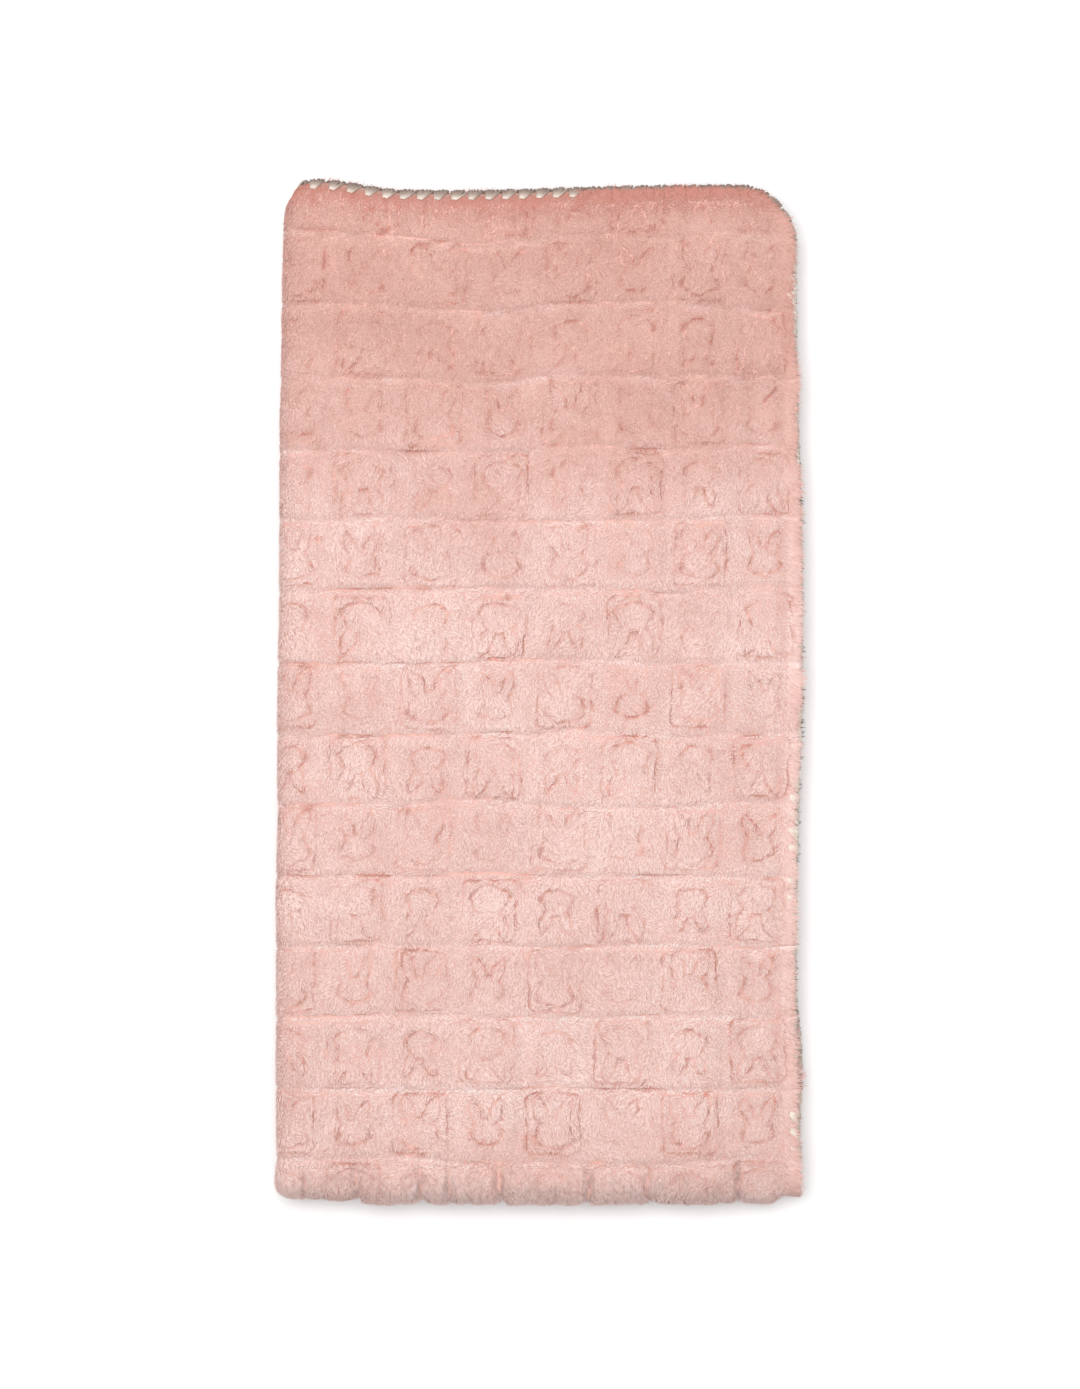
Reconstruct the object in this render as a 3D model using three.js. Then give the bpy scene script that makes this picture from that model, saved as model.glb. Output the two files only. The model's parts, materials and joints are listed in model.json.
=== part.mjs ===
import * as THREE from "three";

// A plush comfort blanket, folded in quarters and lying flat. Millimetres, +Z up.
// The first fold runs up the left side. The second fold, the one that opens, runs across
// the bottom. Each half of the stack is a book of two leaves, and each leaf is a plush ply
// on the outside of the book, a lining ply inside it, and a stitched edging on its free edges.

// Size of the folded stack
const foldedWidth = 362;
const foldedLength = 700;
const cornerRadius = 40;

// Plies, as thick as they lie in the stack
const plushThickness = 8;
const liningThickness = 3;
const plyClearance = 0.4;
const leafClearance = 0.8;
const halfClearance = 0.8;
const hingeClearance = 0.3;

// The free edge, where the stitches squeeze both plies
const pinchedPlush = 2.6;
const pinchedLining = 1.2;
const lipLength = 4;
const pinchLength = 7;
const puffLength = 11;
const edgingReach = 3.4;
const edgingWall = 1.3;
const edgingClearance = 0.4;

// The sheared chequer of the plush
const tileWidth = 46.5;
const tileLength = 48.7;
const columnStart = 31;
const rowStart = 7;
const grooveDepth = 3.4;
const lowTileDrop = 1.4;

// How the stack lies
const edgeSag = 0.25;
const sagWidth = 75;
const leftDrift = 5;
const rightWave = 2.3;
const rightWaveLength = 468;
const rightWavePlace = 377;
const cornerNip = 12;
const cornerNipLength = 40;
const cornerNipFade = 6;
const topDip = 4;
const topDipPlace = 120;
const topDipWidth = 100;
const peekReach = 4.5;
const peekLength = 140;
const peekFade = 4;

// Fineness: steps round the folds, spaces and lengths of the plain stretches, and the shares of
// the corner's radius at which it has points
const sideFoldSteps = 5;
const bottomFoldSteps = 8;
const plainSpaces = 4;
const plainLength = 48;
const cornerShares = [0, 0.05, 0.7, 1];
const sampleGap = 8;

// Heights of the plies above the plane between the two halves, lying free and squeezed
const innerPlushFace = halfClearance / 2;
const innerPlushBack = innerPlushFace + plushThickness;
const innerLiningFace = innerPlushBack + plyClearance;
const innerLiningBack = innerLiningFace + liningThickness;
const outerLiningBack = innerLiningBack + leafClearance;
const outerLiningFace = outerLiningBack + liningThickness;
const outerPlushBack = outerLiningFace + plyClearance;
const outerPlushFace = outerPlushBack + plushThickness;
const foldRadius = outerPlushFace;
const sideFoldCentre = (outerPlushFace + innerPlushFace) / 2;
const sideFoldRadius = (outerPlushFace - innerPlushFace) / 2;
const innerSeam = (innerPlushFace + innerLiningBack) / 2;
const outerSeam = (outerPlushFace + outerLiningBack) / 2;
const seamHalf = (pinchedPlush + plyClearance + pinchedLining) / 2;

// The cut edges of a leaf. The side fold starts at x = 0, and the hinge line is y = 0.
const cutRight = foldedWidth - edgingReach;
const cutTop = foldedLength - foldRadius - edgingReach;
const leafStart = sideFoldRadius;

const plushColour = new THREE.Color().setRGB(0.91, 0.72, 0.69, THREE.SRGBColorSpace);
const liningColour = new THREE.Color().setRGB(0.9, 0.66, 0.62, THREE.SRGBColorSpace);
const yarnColour = new THREE.Color().setRGB(0.88, 0.84, 0.78, THREE.SRGBColorSpace);

const smooth = (t) => {
  const c = Math.min(1, Math.max(0, t));
  return c * c * (3 - 2 * c);
};
const mix = (a, b, t) => a + (b - a) * t;

// Distance from a point of a leaf to its free edge, with the rounded corner
function edgeDistance(x, y) {
  const cornerX = cutRight - cornerRadius;
  const cornerY = cutTop - cornerRadius;
  if (x > cornerX && y > cornerY) {
    return cornerRadius - Math.hypot(x - cornerX, y - cornerY);
  }
  return Math.min(cutRight - x, cutTop - y);
}

function rightAt(y) {
  const above = y - (cutTop - cornerRadius);
  if (above <= 0) return cutRight;
  return cutRight - cornerRadius + Math.sqrt(Math.max(0, cornerRadius ** 2 - above ** 2));
}

// 1 where the stitches hold the plies, 0 where they lie free
const pinch = (x, y) => 1 - smooth((edgeDistance(x, y) - pinchLength) / puffLength);

// A ply's surface: its height lying free, and squeezed at the seam
const surface = (free, squeezed) => ({ free, squeezed });
const heightOf = (s, x, y) => mix(s.free, s.squeezed, pinch(x, y));

const plushSurfaces = {
  outerFace: surface(outerPlushFace, outerSeam + seamHalf),
  outerBack: surface(outerPlushBack, outerSeam + seamHalf - pinchedPlush),
  innerBack: surface(innerPlushBack, innerSeam - seamHalf + pinchedPlush),
  innerFace: surface(innerPlushFace, innerSeam - seamHalf),
};
const liningSurfaces = {
  outerFace: surface(outerLiningFace, outerSeam - seamHalf + pinchedLining),
  outerBack: surface(outerLiningBack, outerSeam - seamHalf),
  innerBack: surface(innerLiningBack, innerSeam + seamHalf),
  innerFace: surface(innerLiningFace, innerSeam + seamHalf - pinchedLining),
};

// How far the plush is sheared down: grooves between tiles, and every other tile lower
function shearedDepth(x, along) {
  const column = (x - columnStart) / tileWidth;
  const row = (along - rowStart) / tileLength;
  const crown = (t) => 1 - Math.abs(2 * (t - Math.floor(t)) - 1);
  const low = (Math.floor(column) + Math.floor(row)) % 2 === 0 ? lowTileDrop : 0;
  return grooveDepth - (grooveDepth - low) * Math.min(crown(column), crown(row));
}

// The resting stack sags towards its free edges and its outline wanders a little. Near the
// bottom fold the lower half peeks out at the right.
function drape(x, y, height, side) {
  const along = Math.max(0, y);
  const across = x / cutRight;
  const climb = (along / cutTop) ** 2;
  const peekAngle = Math.PI * Math.min(1, along / peekLength);
  const peek = side < 0 ? peekReach * Math.sin(peekAngle) ** 2 * across ** peekFade : 0;
  const near = 1 - smooth(edgeDistance(x + peek, along) / sagWidth);
  const wave = rightWave * (Math.cos((2 * Math.PI * (along - rightWavePlace)) / rightWaveLength) - 1);
  const nip = cornerNip * smooth((along - cutTop + cornerNipLength) / cornerNipLength) ** 2;
  const drift = leftDrift * climb * (1 - across) + nip * (1 - across) ** cornerNipFade;
  const dip = topDip * Math.exp(-(((x - topDipPlace) / topDipWidth) ** 2));
  return new THREE.Vector3(
    x + peek + wave * across + drift,
    y - dip * climb,
    height * (1 - edgeSag * near),
  );
}

// Where a point of a half goes. side is -1 for the lower half and 1 for the upper half.
const inHalf = (side) => (x, y, level) => drape(x, y, foldRadius + side * level, side);

// Where a point of the bottom fold goes, at an angle from the lower half round to the upper
const inFold = (angle) => (x, level) => {
  const p = drape(x, 0, foldRadius - level * Math.cos(angle), 0);
  p.y = -level * Math.sin(angle);
  return p;
};

// The joints and middles of tiles between two places
function tilePlaces(from, to, start, size) {
  const places = [];
  const step = size / 2;
  for (let n = Math.ceil((from - start) / step); start + n * step < to; n += 1) {
    places.push(start + n * step);
  }
  return places;
}

// Distances from a free edge at which every ply is sampled, so that their chords agree
const inOrder = (steps) => [...new Set(steps)].sort((a, b) => a - b);
const puffEnd = pinchLength + puffLength;
const seamSteps = inOrder([0, pinchLength, puffEnd]);
const cornerSteps = inOrder([
  ...cornerShares.map((share) => share * cornerRadius),
  ...seamSteps.filter((d) => d < cornerRadius),
]);
const topSteps = inOrder([...cornerSteps, puffEnd, (cornerRadius + sagWidth) / 2, sagWidth]);

// Places across a leaf, from its cut edge to the side fold. The sheared face has finer ones.
function acrossLeaf(y, sheared) {
  const right = rightAt(y);
  const edge = sheared ? seamSteps : inOrder([...seamSteps, sagWidth]);
  const inner = cutRight - edge.at(-1);
  const span = right - edge.at(-1) - leafStart;
  const shares = [];
  if (sheared) {
    for (const x of tilePlaces(leafStart + sampleGap, inner - sampleGap, columnStart, tileWidth)) {
      shares.push((x - leafStart) / (inner - leafStart));
    }
  } else {
    for (let n = 1; n < plainSpaces; n += 1) shares.push(n / plainSpaces);
  }
  const middle = shares.reverse().map((share) => leafStart + span * share);
  return [...edge.map((d) => right - d), ...middle, leafStart];
}

// Places along a half, from the hinge line to the cut edge at the top
function alongLeaf(sheared) {
  const last = cutTop - topSteps.at(-1);
  const spaces = Math.ceil(last / plainLength);
  const places = sheared
    ? tilePlaces(sampleGap, last - sampleGap, rowStart, tileLength)
    : Array.from({ length: spaces - 1 }, (_, n) => (last * (n + 1)) / spaces);
  return [hingeClearance, ...places, ...topSteps.map((d) => cutTop - d).reverse()];
}

// The folded section of a ply as [x, level] pairs: out along the outer leaf, round the side
// fold, and back along the inner leaf, once on the face and once on the back
function plySection(y, surfaces, fine, depth) {
  const coarse = acrossLeaf(y, false);
  const outer = acrossLeaf(y, fine);
  const arc = (face, inner) => {
    const radius = (heightOf(face, leafStart, y) - heightOf(inner, leafStart, y)) / 2;
    const points = [];
    for (let n = 1; n < sideFoldSteps; n += 1) {
      const angle = (Math.PI * n) / sideFoldSteps;
      points.push([
        leafStart - radius * Math.sin(angle),
        sideFoldCentre + radius * Math.cos(angle),
      ]);
    }
    return points;
  };
  const flat = (s, places) => places.map((x) => [x, heightOf(s, x, y)]);
  const sheared = outer.map((x) => [
    x,
    heightOf(surfaces.outerFace, x, y) - depth(x) * (1 - pinch(x, y)),
  ]);
  return [
    ...sheared,
    ...arc(surfaces.outerFace, surfaces.innerFace),
    ...flat(surfaces.innerFace, coarse).reverse(),
    ...flat(surfaces.innerBack, coarse),
    ...arc(surfaces.outerBack, surfaces.innerBack).reverse(),
    ...flat(surfaces.outerBack, coarse).reverse(),
  ];
}

// A closed solid through a row of rings, each with the same number of points. The two fills are
// the triangles that close its first and last ring.
function loft(rings, firstFill, lastFill = firstFill) {
  const count = rings[0].length;
  const points = rings.flat();
  const index = [];
  for (let r = 0; r + 1 < rings.length; r += 1) {
    for (let n = 0; n < count; n += 1) {
      const a = r * count + n;
      const b = r * count + ((n + 1) % count);
      // Neighbouring plies split their squares along the same diagonal
      if (points[a].x < points[b].x) index.push(a, b, b + count, a, b + count, a + count);
      else index.push(a, b, a + count, b, b + count, a + count);
    }
  }
  const last = (rings.length - 1) * count;
  for (const [a, b, c] of firstFill) index.push(a, c, b);
  for (const [a, b, c] of lastFill) index.push(last + a, last + b, last + c);
  const geometry = new THREE.BufferGeometry().setFromPoints(points).setIndex(index);
  return facingOut(geometry, points, index);
}

// The triangles that fill a small section, each going round the same way as its outline
function fill(section) {
  const contour = section.map(([x, y]) => new THREE.Vector2(x, y));
  const way = Math.sign(THREE.ShapeUtils.area(contour));
  return THREE.ShapeUtils.triangulateShape(contour, []).map(([a, b, c]) => {
    const area = THREE.ShapeUtils.area([contour[a], contour[b], contour[c]]);
    return area * way < 0 ? [a, c, b] : [a, b, c];
  });
}

// The triangles that fill a ply's section. They keep to the ply's thickness, because its end
// isn't flat.
function fillBand(section) {
  const apart = (a, b) => Math.hypot(section[a][0] - section[b][0], section[a][1] - section[b][1]);
  const triangles = [];
  let a = 0;
  let b = section.length - 1;
  while (b - a > 1) {
    if (apart(a + 1, b) < apart(a, b - 1)) {
      triangles.push([a, a + 1, b]);
      a += 1;
    } else {
      triangles.push([a, b - 1, b]);
      b -= 1;
    }
  }
  return triangles;
}

// Turns every face round if the solid is inside out
function facingOut(geometry, points, index) {
  let volume = 0;
  for (let n = 0; n < index.length; n += 3) {
    const [a, b, c] = [points[index[n]], points[index[n + 1]], points[index[n + 2]]];
    volume += a.dot(b.clone().cross(c));
  }
  if (volume < 0) geometry.setIndex(index.reverse());
  return geometry;
}

// One ply through a half of the stack
function halfPly(surfaces, side, fine) {
  const place = inHalf(side);
  const depthAt = (y) => (x) => (fine ? shearedDepth(x, y) : 0);
  const sections = alongLeaf(fine).map((y) => ({
    y,
    points: plySection(y, surfaces, fine, depthAt(y)),
  }));
  const rings = sections.map((s) => s.points.map(([x, level]) => place(x, s.y, level)));
  return loft(rings, fillBand(sections[0].points), fillBand(sections.at(-1).points));
}

// One ply round the bottom fold
function foldPly(surfaces, sheared) {
  const rings = [];
  let section;
  for (let n = 0; n <= bottomFoldSteps; n += 1) {
    const angle = (Math.PI * n) / bottomFoldSteps;
    const arcLength = foldRadius * (Math.PI - angle);
    const depth = (x) => (sheared ? shearedDepth(x, -arcLength) * Math.sin(angle) : 0);
    const place = inFold(angle);
    section = plySection(0, surfaces, sheared, depth);
    rings.push(section.map(([x, level]) => place(x, level)));
  }
  return loft(rings, fillBand(section));
}

// The edging's section: a channel over the squeezed plies, as [outward, up] from the cut edge
const channelHalf = seamHalf + edgingClearance;
const yarnHalf = channelHalf + edgingWall;
const shoulderReach = 0.75 * edgingReach;
const shoulderHalf = 0.65 * yarnHalf;
const edgingSection = [
  [-lipLength, channelHalf + edgingWall / 2],
  [0, yarnHalf],
  [shoulderReach, shoulderHalf],
  [edgingReach, 0],
  [shoulderReach, -shoulderHalf],
  [0, -yarnHalf],
  [-lipLength, -channelHalf - edgingWall / 2],
  [-lipLength, -channelHalf],
  [edgingClearance, -channelHalf],
  [edgingClearance, channelHalf],
  [-lipLength, channelHalf],
];

// Rings of the edging along one leaf, from the hinge line to the side fold
function leafEdging(seam, place) {
  const rings = [];
  const cornerX = cutRight - cornerRadius;
  const cornerY = cutTop - cornerRadius;
  const ring = (x, y, outX, outY) => {
    rings.push(
      edgingSection.map(([out, up]) => place(x + outX * out, y + outY * out, seam + up)),
    );
  };
  for (const y of alongLeaf(false)) {
    if (y < cornerY) ring(cutRight, y, 1, 0);
  }
  for (const d of [...cornerSteps].reverse()) {
    const lift = (cornerRadius - d) / cornerRadius;
    const inward = Math.sqrt(1 - lift ** 2);
    ring(cornerX + cornerRadius * inward, cornerY + cornerRadius * lift, inward, lift);
  }
  for (const x of acrossLeaf(cutTop, false).slice(seamSteps.length)) ring(x, cutTop, 0, 1);
  return rings;
}

// Rings of the edging round the side fold, from the outer leaf to the inner one
function sideFoldEdging(place) {
  const rings = [];
  for (let n = 1; n < sideFoldSteps; n += 1) {
    const angle = (Math.PI * n) / sideFoldSteps;
    rings.push(
      edgingSection.map(([out, up]) => {
        const radius = outerSeam - sideFoldCentre + up;
        return place(
          leafStart - radius * Math.sin(angle),
          cutTop + out,
          sideFoldCentre + radius * Math.cos(angle),
        );
      }),
    );
  }
  return rings;
}

// The edging of a half runs along its outer leaf, round the side fold and back along its inner
// leaf, which is turned over
function halfEdging(side) {
  const place = inHalf(side);
  const turnedOver = (x, y, level) => place(x, y, 2 * innerSeam - level);
  return loft(
    [
      ...leafEdging(outerSeam, place),
      ...sideFoldEdging(place),
      ...leafEdging(innerSeam, turnedOver).reverse(),
    ],
    fill(edgingSection),
  );
}

function foldEdging(seam) {
  const rings = [];
  for (let n = 0; n <= bottomFoldSteps; n += 1) {
    const place = inFold((Math.PI * n) / bottomFoldSteps);
    rings.push(edgingSection.map(([out, up]) => place(cutRight + out, seam + up)));
  }
  return loft(rings, fill(edgingSection));
}

const cloth = (color, roughness) =>
  new THREE.MeshStandardMaterial({ color, roughness, metalness: 0 });
const plush = cloth(plushColour, 0.95);
const lining = cloth(liningColour, 0.9);
const yarn = cloth(yarnColour, 0.8);

const blanket = new THREE.Group();

function add(parent, name, geometry, material) {
  geometry.computeVertexNormals();
  const mesh = new THREE.Mesh(geometry, material);
  mesh.name = name;
  parent.add(mesh);
}

function addHalf(word, side) {
  const half = new THREE.Group();
  add(half, `plush_${word}_half`, halfPly(plushSurfaces, side, side > 0), plush);
  add(half, `lining_${word}_half`, halfPly(liningSurfaces, side, false), lining);
  add(half, `edging_${word}_half`, halfEdging(side), yarn);
  blanket.add(half);
}

function addBottomFold() {
  const fold = new THREE.Group();
  add(fold, "plush_bottom_fold", foldPly(plushSurfaces, true), plush);
  add(fold, "lining_bottom_fold", foldPly(liningSurfaces, false), lining);
  add(fold, "edging_bottom_fold_outer", foldEdging(outerSeam), yarn);
  add(fold, "edging_bottom_fold_inner", foldEdging(innerSeam), yarn);
  blanket.add(fold);
}

addHalf("lower", -1);
addBottomFold();
addHalf("upper", 1);

// The origin is the middle of the underside
const box = new THREE.Box3().setFromObject(blanket);
const middle = box.getCenter(new THREE.Vector3());
blanket.position.set(-middle.x, -middle.y, -box.min.z);
console.log("hinge line at y", (-middle.y).toFixed(3), "z", (foldRadius - box.min.z).toFixed(3));

export default blanket;
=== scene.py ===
import json
import math

import bpy
import numpy as np
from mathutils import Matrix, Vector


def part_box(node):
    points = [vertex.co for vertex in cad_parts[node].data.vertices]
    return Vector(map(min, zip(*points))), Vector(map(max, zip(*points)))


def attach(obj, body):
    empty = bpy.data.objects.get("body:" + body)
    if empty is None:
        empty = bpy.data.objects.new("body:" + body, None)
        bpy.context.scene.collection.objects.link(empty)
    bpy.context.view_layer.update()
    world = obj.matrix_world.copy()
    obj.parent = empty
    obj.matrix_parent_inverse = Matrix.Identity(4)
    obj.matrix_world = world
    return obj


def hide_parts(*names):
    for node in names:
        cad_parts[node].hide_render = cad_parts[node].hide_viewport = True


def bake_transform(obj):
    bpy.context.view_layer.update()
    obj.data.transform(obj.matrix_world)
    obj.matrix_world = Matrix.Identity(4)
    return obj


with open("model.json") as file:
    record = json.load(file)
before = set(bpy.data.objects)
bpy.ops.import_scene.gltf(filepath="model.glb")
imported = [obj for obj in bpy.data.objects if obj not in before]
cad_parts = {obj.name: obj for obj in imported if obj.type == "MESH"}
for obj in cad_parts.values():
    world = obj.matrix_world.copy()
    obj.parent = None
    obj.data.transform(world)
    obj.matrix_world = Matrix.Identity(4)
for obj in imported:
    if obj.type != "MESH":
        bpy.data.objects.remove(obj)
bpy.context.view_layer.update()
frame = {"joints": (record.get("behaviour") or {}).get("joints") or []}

# A plush comfort blanket folded in quarters. Lengths are millimetres until a mesh is made.
MM = 0.001

# The folded stack, as in the part
folded_width = 362.0
folded_length = 700.0
corner_radius = 40.0
edging_reach = 3.4
plush_thickness = 8.0
pinched_plush = 2.6
pinch_length = 7.0
puff_length = 11.0
edge_sag = 0.25
sag_width = 75.0
left_drift = 5.0
right_wave = 2.3
right_wave_length = 468.0
right_wave_place = 377.0
corner_round = 11.0
corner_taper = 2.0
corner_taper_length = 34.0
corner_nip_fade = 6
corner_rise = 5.2
corner_rise_start = 80.0
corner_rise_length = 60.0
top_dip = 4.0
top_dip_place = 120.0
top_dip_width = 100.0
peek_reach = 4.5
peek_length = 140.0
peek_fade = 4

# Distances of the plies' surfaces from the middle plane of a half, lying free and at the seam
book_middle = 12.2
plush_face = (11.8, 8.2)
lining_face = (3.4, 5.2)
lining_back = (0.4, 4.0)
seam_distance = 6.1

hinge = [h / MM for h in frame["joints"][0]["pos_m"]]
fold_radius = hinge[2]
side_fold_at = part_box("plush_upper_half")[0].x / MM
side_fold_radius = plush_face[0]
leaf_start = side_fold_radius
cut_right = folded_width - edging_reach
cut_top = folded_length - fold_radius - edging_reach
leaf_width = cut_right - leaf_start
side_arc = math.pi * side_fold_radius
bottom_arc = math.pi * fold_radius
hinge_clearance = 0.3

# The sheared chequer. Every other tile is boxed, and each holds the outline of a bunny's head.
tile_width = 46.5
tile_length = 48.7
column_start = 31.0
row_start = 7.0
columns_lean_low = -4.0
columns_lean_high = 11.0
box_half_width = 18.4
box_half_length = 20.8
box_corner = 5.0
boxed_head_size = 1.0
plain_head_size = 0.84
# Middle across and up, half width, half height and tilt
head_oval = (0.0, -6.4, 11.8, 10.8, 0.0)
cheeks_oval = (0.0, -9.6, 13.6, 6.4, 0.0)
ear_across = 8.2
ear_up = 8.6
ear_half_length = 12.0
ear_bulge = 4.6
ear_lean = 0.36
line_width = 0.6
line_half_gap = 0.42
halo_width = 2.6
far_off = 99.0

# Swells that are added up, each as an amount, a size and a seed
row_wander = ((3.2, 64.0, 48), (0.8, 12.0, 49))
line_wander_across = ((1.1, 11.0, 41), (0.8, 3.4, 42))
line_wander_up = ((1.1, 11.0, 43), (0.8, 3.4, 44))
clearness_swells = ((0.6, 8.0, 45), (0.55, 28.0, 46))
crease_gap_swells = ((1.0, 40.0, 47),)
rolls = ((0.6, 62.0, 51), (0.4, 27.0, 52), (0.12, 9.0, 53))
rim_swells = ((0.8, 17.0, 55),)
notch_wander = ((1.8, 9.0, 58),)
lay_swells = ((0.25, 34.0, 61), (0.3, 12.0, 62))
loose_swells = ((0.3, 20.0, 63),)
cover_swells = ((0.2, 12.0, 65), (0.25, 40.0, 68))
shade_swells = ((0.03, 13.0, 71), (0.06, 45.0, 72), (0.02, 5.0, 73))
tuft_wander_across = ((2.4, 9.0, 66),)
tuft_wander_up = ((2.4, 9.0, 67),)
tuft_seed = 64
lattice_size = 256

# How clearly the lines show
line_clearness = 0.6
faintest_line = 0.05
fading_on_bottom_fold = 0.65
fading_on_side_fold = 0.8
crease_gap = 3.0
crease_gap_share = 0.3

# The relief of the pile's face
least_depth = 0.9
row_joint_width = 2.6
column_joint_width = 3.5
column_joint_depth = 0.6
notch_width = 2.7
notch_share = 0.85
groove_depth = 1.0
fold_puff_depth = 1.3
rim_place = 2.6
rim_width = 2.0
rim_share = 0.35
# Places and depths of the notches along the bottom fold
fold_notches = (
    (20.0, 2.5),
    (54.5, 3.0),
    (98.0, 4.0),
    (117.0, 3.0),
    (153.0, 4.5),
    (214.6, 4.0),
    (256.0, 3.0),
    (318.0, 4.5),
)

# How far the pile stands out round the folds
fold_proud = 5.0
fold_proud_at_edge = 2.5
fold_proud_start = 0.2
fold_proud_fade = 90.0
side_proud = 2.4
fold_band_above = 12.0
fold_fade_above = 24.0
fold_band_below = 4.0
fold_fade_below = 16.0

# A fibre's cross-section: how broad and how high, against its width
spike_breadth = 1.155
spike_ridge = 0.36
side_shade = 0.006

# The fibres' roots
pile_height = 0.7
backing_depth = 1.0
backing_groove = 1.4
backing_crease_reach = 7.0
thinnest_backing = 0.6
thinnest_plush = 1.2
root_scatter = 0.6
fringe_scatter = 0.5
fringe_place = 5.5
fringe_half_width = 3.0
closest_root = 0.4
bare_edge = 1.2
lowest_root = 1.2
lowest_tip = 0.9
bare_top_width = 195.0
usual_cover = 0.76
more_cover_at_top = 0.3
bare_cover = 0.05
side_fold_cover = 0.3
cover_top_band = 30.0
cover_top_fade = 15.0
bare_top_end = 20.0
bare_top_fade = 40.0
side_fold_band = 8.0
side_fold_fade = 10.0

# How the fibres lie. Pairs are the least and the most of a random share.
fibre_lean = 5.4
lean_spread = (0.7, 1.3)
lay_spread = 0.55
looseness = 0.6
least_loose = 0.25
edge_band = 15.0
over_edge_reach = 9.0
over_edge_spread = (0.55, 1.15)
tip_clearance = 0.4
tuft_size = 6.5
tuft_pull = 0.15
pull_spread = (0.5, 1.2)
rim_comb = 5.0
fold_comb = 3.4
fold_comb_fade = 18.0
crease_lean = 5.0
crease_lean_spread = (0.4, 1.2)
crease_lean_reach = 9.0
inner_leaf_fade = 4.0
over_hinge_spread = (-0.5, 1.5)
line_keep_off = 1.6

# How deep the fibres lie
level_scatter = 0.35
tuft_step = 0.2
tip_lift_at_edge = 3.8
root_lift_at_edge = 1.4
root_lift_share = 0.8
width_spread = (0.75, 1.25)
up_on_side_fold = 0.55

# The fibres' shade, from 0 dark to 1 light
shade_middle = 0.72
shade_of_tuft = 0.02
halo_dark = 0.055
# Painted shade over the upper part, darker towards the top
upper_half_painted_shade = 0.3
upper_fade = 20.0
# Painted light round the bottom fold
fold_painted_light = 0.04
# Painted shade on the side fold
side_fold_painted_shade = 0.03
# Painted highlight on the fibres that comb up over each crease
crease_painted_highlight = 0.16
above_fold_dark = 0.05
above_fold_height = 46.0
above_fold_fade = 40.0
dark_fibre = 0.2
dark_fibre_share = 0.04
# Painted shade along the top edge, and how far in it reaches
top_painted_shade = 0.34
top_painted_shade_band = 24.0
# Painted shade along the free edges
edge_painted_shade = 0.12
edge_zone = 14.0
shade_scatter = 0.05
top_scatter = 0.12
top_scatter_band = 20.0
line_dark = 0.32

# The brown painted shade of the under-pile along the seam
least_brown = 0.2
more_brown_at_top = 0.7
brown_top_band = 40.0
brown_top_fade = 30.0
brown_width = 3.0
brown_fade = 8.0

# How much painted shade darkens the fibres toward their root colour
edge_root_colour_shade = 0.12
top_root_colour_shade = 0.2
root_colour_shade_top_band = 18.0
fold_root_colour_shade = 0.3
most_root_colour_shade = 0.92

# Stitches
shell_pitch = 11.5
stitch_depth = 4.0
shell_strands = 7
shell_half_width = 0.9
shell_offset = 1.0
shell_fan = 29.0
shell_slant = 24.0
strand_turn_scatter = 0.05
outer_strand_short = 0.1
outer_strand_low = 0.22
reach_spread = (0.97, 1.03)
lift_spread = (0.95, 1.05)
# Painted shade on the loops' outer sides: the least of it, and its random spread
least_outer_painted_shade = 0.3
outer_painted_shade_scatter = 0.15
pressed_by_pile = 0.75
yarn_radius = 0.95
strand_half_height = 2.4
shell_reach = stitch_depth + edging_reach - yarn_radius

# The picture
picture_height = 958.4
room_strength = 0.55
softbox_watts = 64.0
floor_glow = 0.04
half_floor = 4.0
floor_level = -0.0002
softbox_size = 1.8
softbox_place = (-0.28, 0.4, 2.6)
lens_length = 100.0
sensor_width = 36.0
camera_place = (-0.0007, -0.0025)

# How close the rows and columns of the sheets lie
fine_gap = 3.4
plain_gap = 6.0
lining_gap = 12.0
fold_rows = 30
side_fold_columns = 13
corner_rows_start = 0.3
corner_rows = (0.24, 0.17, 0.11, 0.06, 0.03, 0.01, 0.0)

# The gap between the fibres of each part of the pile, and their width
top_fibres = (0.96, 0.8)
upper_side_fibres = (1.1, 1.05)
lower_side_fibres = (1.4, 1.3)
inside_fibres = (1.95, 1.9)
underside_fibres = (2.3, 2.3)
fold_fibres = (0.92, 0.8)
side_fold_shading = 0.9


def smooth(t):
    c = np.clip(t, 0.0, 1.0)
    return c * c * (3.0 - 2.0 * c)


def mix(a, b, t):
    return a + (b - a) * t


def bell(distance, width):
    """1 at no distance, and falling off over the width to both sides."""
    return np.exp(-((distance / width) ** 2))


def unit(vectors):
    return vectors / np.maximum(1e-9, np.linalg.norm(vectors, axis=-1, keepdims=True))


def swells(x, y, size, seed):
    """Smooth bumps and hollows, from -1 to 1, about size apart."""
    lattice = np.random.default_rng(seed).uniform(-1.0, 1.0, (lattice_size, lattice_size))
    column, row = np.floor(x / size), np.floor(y / size)
    across, up = smooth(x / size - column), smooth(y / size - row)
    i, j = column.astype(int), row.astype(int)

    def at(di, dj):
        return lattice[(i + di) % lattice_size, (j + dj) % lattice_size]

    return mix(mix(at(0, 0), at(1, 0), across), mix(at(0, 1), at(1, 1), across), up)


def layered(x, y, layers):
    """Swells of several sizes, added up."""
    return sum(amount * swells(x, y, size, seed) for amount, size, seed in layers)


# Where the cloth lies. u runs across the cloth from the side fold, outer leaf positive, and v
# along it from the bottom fold, upper half positive.


def edge_distance(x, y):
    corner_x = cut_right - corner_radius
    corner_y = cut_top - corner_radius
    in_corner = (x > corner_x) & (y > corner_y)
    rounded = corner_radius - np.hypot(x - corner_x, y - corner_y)
    return np.where(in_corner, rounded, np.minimum(cut_right - x, cut_top - y))


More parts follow.
